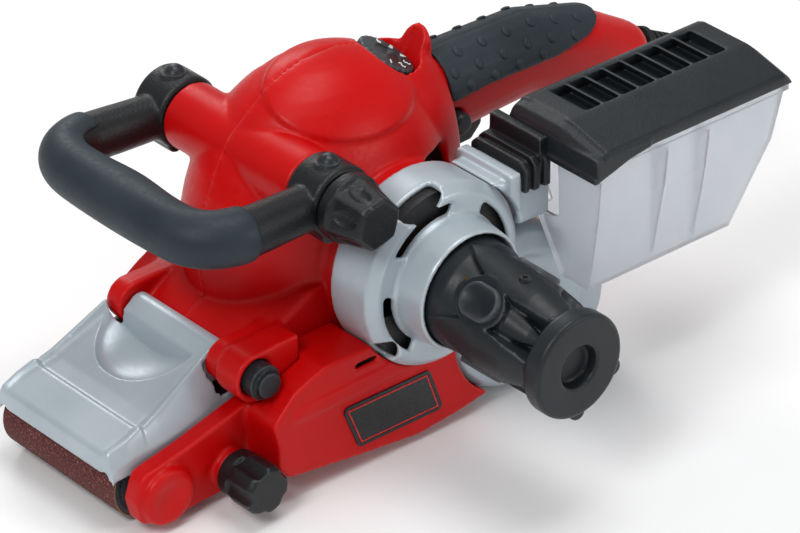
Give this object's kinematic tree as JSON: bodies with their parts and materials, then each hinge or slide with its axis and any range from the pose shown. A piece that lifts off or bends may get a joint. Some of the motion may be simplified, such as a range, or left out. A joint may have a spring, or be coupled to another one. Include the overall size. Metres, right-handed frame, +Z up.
{
  "type": "belt sander",
  "caption": "Handheld belt sander with tilting front loop handle, flip-up nose guard, transverse motor, belt tracking knob and clip-on dust box.",
  "frame": {"origin": "on the sanding face, midway between the two roller axes and on the belt centreline", "axes": "+X forward towards the nose guard, +Y to the operator's left (motor side), +Z up, away from the work"},
  "size_m": [0.351, 0.2222, 0.1575],
  "materials": {
    "red_plastic": "glossy, lightly grained",
    "black_plastic": "fine grained",
    "grey_plastic": "metallic grey paint look",
    "soft_grip": "soft touch",
    "dial_plastic": "fine grained",
    "box_plastic": "milky translucent plastic",
    "filter_paper": "pleated",
    "abrasive": "aluminium oxide grit on cloth",
    "steel": "machined",
    "lamination": "stamped stack",
    "cast_aluminium": "die cast",
    "copper": "enamelled copper wire",
    "brass": "stamped",
    "carbon": "pressed graphite",
    "rubber": "moulded",
    "board": "lacquered circuit board",
    "label": "printed plate"
  },
  "bodies": {
    "body": {"housing_left": "red_plastic", "housing_right": "red_plastic", "housing_screws": "steel", "side_housing": "red_plastic", "belt_frame": "cast_aluminium", "platen": "steel", "graphite_pad": "carbon", "platen_screws": "steel", "sanding_belt": "abrasive", "tension_spring": "steel", "lever_pin": "steel", "drive_bearings": "steel", "toothed_belt": "rubber", "motor_bearings": "steel", "stator_core": "lamination", "stator_windings": "copper", "carbon_brushes": "carbon", "brush_holders": "brass", "brush_springs": "steel", "brush_caps": "black_plastic", "motor_housing": "grey_plastic", "motor_end_cap": "black_plastic", "belt_drive_cover": "grey_plastic", "dust_duct": "grey_plastic", "hinge_pin": "steel", "label_plate": "label", "rear_grip": "soft_grip", "trigger_spring": "steel", "switch_block": "black_plastic", "control_board": "board", "cable_gland": "rubber"},
    "rotor": {"armature": "lamination", "armature_winding": "copper", "commutator": "copper", "blower_fan": "black_plastic", "motor_pulley": "steel"},
    "drive": {"drive_roller": "cast_aluminium", "roller_sleeve": "rubber", "large_pulley": "black_plastic"},
    "yoke": {"roller_yoke": "steel", "front_axle": "steel", "roller_bearings": "steel"},
    "idler": {"front_roller": "black_plastic"},
    "lever": {"tension_lever": "red_plastic"},
    "guard": {"front_cover": "grey_plastic"},
    "release": {"cover_button": "black_plastic"},
    "handle": {"front_handle": "black_plastic", "handle_grip": "soft_grip", "handle_screws": "black_plastic", "clamp_bolt": "steel"},
    "clamp": {"clamp_knob": "black_plastic"},
    "tracker": {"tracking_knob": "black_plastic", "tracking_screw": "steel"},
    "switch_trigger": {"trigger": "black_plastic"},
    "lock_on": {"lock_button": "black_plastic"},
    "dial": {"speed_dial": "dial_plastic"},
    "dust": {"dust_box": "box_plastic", "dust_collar": "black_plastic"},
    "lid": {"dust_lid": "black_plastic", "dust_filter": "filter_paper"}
  },
  "joints": [
    {"name": "motor_spin", "type": "hinge", "parent": "body", "child": "rotor", "pos_m": [-0.027, 0, 0.08], "axis": [0, 1, 0], "continuous": true},
    {"name": "drive_roller_spin", "type": "hinge", "parent": "body", "child": "drive", "pos_m": [-0.1045, 0, 0.02], "axis": [0, 1, 0], "continuous": true},
    {"name": "yoke_slide", "type": "slide", "parent": "body", "child": "yoke", "axis": [-1, 0, 0], "range_m": [0, 0.003], "deforming": ["tension_spring"]},
    {"name": "front_roller_spin", "type": "hinge", "parent": "yoke", "child": "idler", "pos_m": [0.1045, 0, 0.0165], "axis": [0, 1, 0], "continuous": true},
    {"name": "lever_swing", "type": "hinge", "parent": "body", "child": "lever", "pos_m": [0.04, 0, 0.0165], "axis": [0, 1, 0], "range_deg": [0, 55]},
    {"name": "guard_flip", "type": "hinge", "parent": "body", "child": "guard", "pos_m": [0.0585, 0, 0.056], "axis": [0, -1, 0], "range_deg": [0, 50]},
    {"name": "guard_release", "type": "slide", "parent": "body", "child": "release", "axis": [0, -1, 0], "range_m": [0, 0.0025], "stiffness_N_per_m": 300},
    {"name": "handle_tilt", "type": "hinge", "parent": "body", "child": "handle", "pos_m": [0.015, 0, 0.1236], "axis": [0, -1, 0], "range_deg": [-25, 60]},
    {"name": "clamp_turn", "type": "hinge", "parent": "handle", "child": "clamp", "pos_m": [0.015, 0, 0.1236], "axis": [0, 1, 0], "range_deg": [-270, 0]},
    {"name": "tracking_turn", "type": "hinge", "parent": "body", "child": "tracker", "pos_m": [0.0715, 0, 0.0165], "axis": [0, 1, 0], "range_deg": [-120, 120]},
    {"name": "trigger_pull", "type": "slide", "parent": "body", "child": "switch_trigger", "axis": [0, 0, 1], "range_m": [0, 0.005], "stiffness_N_per_m": 250, "deforming": ["trigger_spring"]},
    {"name": "lock_on_push", "type": "slide", "parent": "body", "child": "lock_on", "axis": [0, -1, 0], "range_m": [0, 0.0025], "stiffness_N_per_m": 300},
    {"name": "speed_turn", "type": "hinge", "parent": "body", "child": "dial", "pos_m": [-0.057, 0.0035, 0.1456], "axis": [-0.4724, 0.2249, 0.8522], "range_deg": [0, 270]},
    {"name": "dust_box_pull", "type": "slide", "parent": "body", "child": "dust", "axis": [-1, 0, 0], "range_m": [0, 0.04]},
    {"name": "dust_lid_lift", "type": "slide", "parent": "dust", "child": "lid", "axis": [0, 0, 1], "range_m": [0, 0.02]}
  ],
  "couplings": [
    {"joint": "drive_roller_spin", "follows": "motor_spin", "ratio": 0.5038},
    {"joint": "front_roller_spin", "follows": "motor_spin", "ratio": 0.6107},
    {"joint": "lever_swing", "follows": "yoke_slide", "rad_per_m": 319.98}
  ]
}
